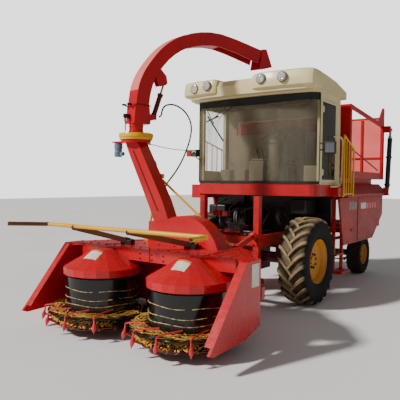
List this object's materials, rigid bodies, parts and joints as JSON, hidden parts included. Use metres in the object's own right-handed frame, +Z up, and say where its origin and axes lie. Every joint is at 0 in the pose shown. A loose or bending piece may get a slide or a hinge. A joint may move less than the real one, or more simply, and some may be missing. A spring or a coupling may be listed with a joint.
{
  "type": "self-propelled forage harvester",
  "caption": "Self-propelled forage harvester with a rotary drum header, swinging spout, glazed cab and side-tipping crop bin.",
  "frame": {"origin": "bottom centre of the whole machine's bounding box, on the ground", "axes": "+Y towards the rear of the machine, which drives towards -Y; +X its left side; +Z up"},
  "size_m": [3.0572, 6.7422, 4.02],
  "materials": {
    "red_paint": "semi-gloss enamel, dusty",
    "dark_red_paint": "worn enamel",
    "yellow_paint": "semi-gloss enamel",
    "rim_paint": "semi-gloss enamel, dusty",
    "cream_paint": "gloss enamel",
    "black_paint": "satin enamel",
    "tyre_rubber": "matte, dusty",
    "grey_iron": "oily cast iron",
    "bright_steel": "polished rod",
    "tinted_glass": "polished",
    "seat_fabric": "woven",
    "grey_plastic": "grained"
  },
  "bodies": {
    "chassis": {"spout_cable": "black_paint", "chassis_frame": "red_paint", "engine": "grey_iron", "front_axle": "dark_red_paint", "rear_axle": "black_paint", "cab_base": "red_paint", "cab_shell": "cream_paint", "cab_roof": "cream_paint", "windshield": "tinted_glass", "right_window": "tinted_glass", "rear_window": "tinted_glass", "driver_seat": "seat_fabric", "steering_column": "grey_plastic", "railing_left": "yellow_paint", "railing_right": "yellow_paint", "ladder": "red_paint", "bin_bed": "red_paint"},
    "front_wheel_left": {"front_tyre_left": "tyre_rubber", "front_rim_left": "rim_paint"},
    "rear_knuckle_left": {"rear_knuckle_left": "black_paint"},
    "rear_wheel_left": {"rear_tyre_left": "tyre_rubber", "rear_rim_left": "rim_paint"},
    "side_cover_front_left": {"side_cover_front_left": "red_paint"},
    "side_cover_rear_left": {"side_cover_rear_left": "red_paint"},
    "drum_left": {"drum_left": "black_paint"},
    "front_wheel_right": {"front_tyre_right": "tyre_rubber", "front_rim_right": "rim_paint"},
    "rear_knuckle_right": {"rear_knuckle_right": "black_paint"},
    "rear_wheel_right": {"rear_tyre_right": "tyre_rubber", "rear_rim_right": "rim_paint"},
    "side_cover_front_right": {"side_cover_front_right": "red_paint"},
    "side_cover_rear_right": {"side_cover_rear_right": "red_paint"},
    "drum_right": {"drum_right": "black_paint"},
    "tie_rod": {"tie_rod": "grey_iron"},
    "cab_door": {"cab_door": "cream_paint", "door_glass": "tinted_glass"},
    "lower_links": {"lower_links": "red_paint"},
    "upper_links": {"upper_links": "red_paint"},
    "lift_barrels": {"lift_barrels": "black_paint"},
    "lift_rods": {"lift_rods": "bright_steel"},
    "header": {"header_frame": "red_paint", "divider_left": "red_paint", "divider_right": "red_paint", "crop_guides": "dark_red_paint", "push_bar": "yellow_paint", "chopper_housing": "red_paint", "discharge_duct": "red_paint", "duct_stays": "yellow_paint", "spout_hose": "black_paint"},
    "spout_base": {"slewing_ring": "yellow_paint", "spout_base": "red_paint"},
    "spout": {"spout": "red_paint"},
    "deflector": {"deflector": "red_paint"},
    "tilt_barrel": {"tilt_barrel": "dark_red_paint"},
    "tilt_rod": {"tilt_rod": "bright_steel"},
    "bin": {"bin_body": "red_paint"},
    "bin_gate": {"bin_gate": "red_paint"},
    "tip_barrel": {"tip_barrel": "black_paint"},
    "tip_stage": {"tip_stage": "bright_steel"},
    "tip_rod": {"tip_rod": "bright_steel"}
  },
  "joints": [
    {"name": "front_wheel_spin_left", "type": "hinge", "parent": "chassis", "child": "front_wheel_left", "pos_m": [1.0546, -0.0589, 0.632], "axis": [1, 0, 0], "continuous": true},
    {"name": "front_wheel_spin_right", "type": "hinge", "parent": "chassis", "child": "front_wheel_right", "pos_m": [-0.6854, -0.0589, 0.632], "axis": [1, 0, 0], "continuous": true},
    {"name": "rear_steer_left", "type": "hinge", "parent": "chassis", "child": "rear_knuckle_left", "pos_m": [0.6546, 2.9911, 0.38], "axis": [0, 0, 1], "range_deg": [-35, 35]},
    {"name": "rear_steer_right", "type": "hinge", "parent": "chassis", "child": "rear_knuckle_right", "pos_m": [-0.2854, 2.9911, 0.38], "axis": [0, 0, 1], "range_deg": [-35, 35]},
    {"name": "tie_rod_hinge", "type": "hinge", "parent": "rear_knuckle_left", "child": "tie_rod", "pos_m": [0.6246, 2.8211, 0.27], "axis": [0, 0, 1], "range_deg": [-35, 35]},
    {"name": "rear_wheel_spin_left", "type": "hinge", "parent": "rear_knuckle_left", "child": "rear_wheel_left", "pos_m": [0.8346, 2.9911, 0.38], "axis": [1, 0, 0], "continuous": true},
    {"name": "rear_wheel_spin_right", "type": "hinge", "parent": "rear_knuckle_right", "child": "rear_wheel_right", "pos_m": [-0.4654, 2.9911, 0.38], "axis": [1, 0, 0], "continuous": true},
    {"name": "header_lift", "type": "hinge", "parent": "chassis", "child": "lower_links", "pos_m": [0.1846, -0.9389, 0.66], "axis": [-1, 0, 0], "range_deg": [-3, 32]},
    {"name": "header_level", "type": "hinge", "parent": "lower_links", "child": "header", "pos_m": [0.1846, -1.6589, 0.46], "axis": [-1, 0, 0], "range_deg": [-32, 3]},
    {"name": "upper_link_lift", "type": "hinge", "parent": "chassis", "child": "upper_links", "pos_m": [0.1846, -0.9389, 1.03], "axis": [-1, 0, 0], "range_deg": [-3, 32]},
    {"name": "lift_barrel_hinge", "type": "hinge", "parent": "chassis", "child": "lift_barrels", "pos_m": [0.1846, -0.7789, 0.37], "axis": [-1, 0, 0], "range_deg": [-2.53, 22.19]},
    {"name": "lift_rod_slide", "type": "slide", "parent": "lift_barrels", "child": "lift_rods", "axis": [0, -0.9921, 0.1251], "range_m": [-0.0157, 0.1292]},
    {"name": "drum_spin_left", "type": "hinge", "parent": "header", "child": "drum_left", "pos_m": [0.8311, -2.6669, 0.4], "axis": [0, 0, 1], "continuous": true},
    {"name": "drum_spin_right", "type": "hinge", "parent": "header", "child": "drum_right", "pos_m": [-0.4619, -2.6669, 0.4], "axis": [0, 0, 1], "continuous": true},
    {"name": "spout_slew", "type": "hinge", "parent": "header", "child": "spout_base", "pos_m": [-0.6754, -1.8589, 2.35], "axis": [0, 0, 1], "range_deg": [-60, 60]},
    {"name": "spout_tilt", "type": "hinge", "parent": "spout_base", "child": "spout", "pos_m": [-0.69067, -1.92721, 2.7753], "axis": [0.9759, -0.2181, 0], "range_deg": [0, 12]},
    {"name": "tilt_barrel_hinge", "type": "hinge", "parent": "spout_base", "child": "tilt_barrel", "pos_m": [-0.61432, -1.58564, 2.64], "axis": [0.9759, -0.2181, 0], "range_deg": [-0.5, 11.69]},
    {"name": "tilt_rod_slide", "type": "slide", "parent": "tilt_barrel", "child": "tilt_rod", "axis": [0.0775, 0.3467, 0.9348], "range_m": [-0.003, 0.082]},
    {"name": "deflector_flap", "type": "hinge", "parent": "spout", "child": "deflector", "pos_m": [-0.14045, 0.53434, 3.945], "axis": [0.9759, -0.2181, 0], "range_deg": [0, 40]},
    {"name": "door_hinge", "type": "hinge", "parent": "chassis", "child": "cab_door", "pos_m": [1.2389, -0.0329, 2.3], "axis": [0, 0, -1], "range_deg": [0, 80]},
    {"name": "cover_front_left", "type": "hinge", "parent": "chassis", "child": "side_cover_front_left", "pos_m": [1.3346, 0.9411, 1.5297], "axis": [0, -1, 0], "range_deg": [0, 75]},
    {"name": "cover_rear_left", "type": "hinge", "parent": "chassis", "child": "side_cover_rear_left", "pos_m": [1.3346, 1.9411, 1.5297], "axis": [0, -1, 0], "range_deg": [0, 75]},
    {"name": "cover_front_right", "type": "hinge", "parent": "chassis", "child": "side_cover_front_right", "pos_m": [-0.9654, 0.9411, 1.5297], "axis": [0, 1, 0], "range_deg": [0, 75]},
    {"name": "cover_rear_right", "type": "hinge", "parent": "chassis", "child": "side_cover_rear_right", "pos_m": [-0.9654, 1.9411, 1.5297], "axis": [0, 1, 0], "range_deg": [0, 75]},
    {"name": "bin_tip", "type": "hinge", "parent": "chassis", "child": "bin", "pos_m": [-0.8754, 0.9911, 1.8], "axis": [0, -1, 0], "range_deg": [0, 45]},
    {"name": "gate_hinge", "type": "hinge", "parent": "bin", "child": "bin_gate", "pos_m": [-0.9497, 0.9911, 3], "axis": [0, 1, 0], "range_deg": [0, 70]},
    {"name": "tip_barrel_hinge", "type": "hinge", "parent": "chassis", "child": "tip_barrel", "pos_m": [1.3446, 3.0611, 1.66], "axis": [0, -1, 0], "range_deg": [-0.5, 31.04]},
    {"name": "tip_stage_slide", "type": "slide", "parent": "tip_barrel", "child": "tip_stage", "axis": [0.0351, 0, 0.9994], "range_m": [-0.004, 0.8252]},
    {"name": "tip_rod_slide", "type": "slide", "parent": "tip_stage", "child": "tip_rod", "axis": [0.0351, 0, 0.9994], "range_m": [-0.004, 0.8252]}
  ],
  "couplings": [
    {"joint": "rear_steer_right", "follows": "rear_steer_left", "ratio": 1},
    {"joint": "tie_rod_hinge", "follows": "rear_steer_left", "ratio": -1},
    {"joint": "header_level", "follows": "header_lift", "ratio": -1},
    {"joint": "upper_link_lift", "follows": "header_lift", "ratio": 1},
    {"joint": "lift_barrel_hinge", "follows": "header_lift", "ratio": 0.67769},
    {"joint": "lift_rod_slide", "follows": "header_lift", "m_per_rad": 0.22421},
    {"joint": "tilt_barrel_hinge", "follows": "spout_tilt", "ratio": 0.93264},
    {"joint": "tilt_rod_slide", "follows": "spout_tilt", "m_per_rad": 0.37256},
    {"joint": "tip_barrel_hinge", "follows": "bin_tip", "ratio": 0.67856},
    {"joint": "tip_stage_slide", "follows": "bin_tip", "m_per_rad": 1.0455},
    {"joint": "tip_rod_slide", "follows": "bin_tip", "m_per_rad": 1.0455}
  ]
}
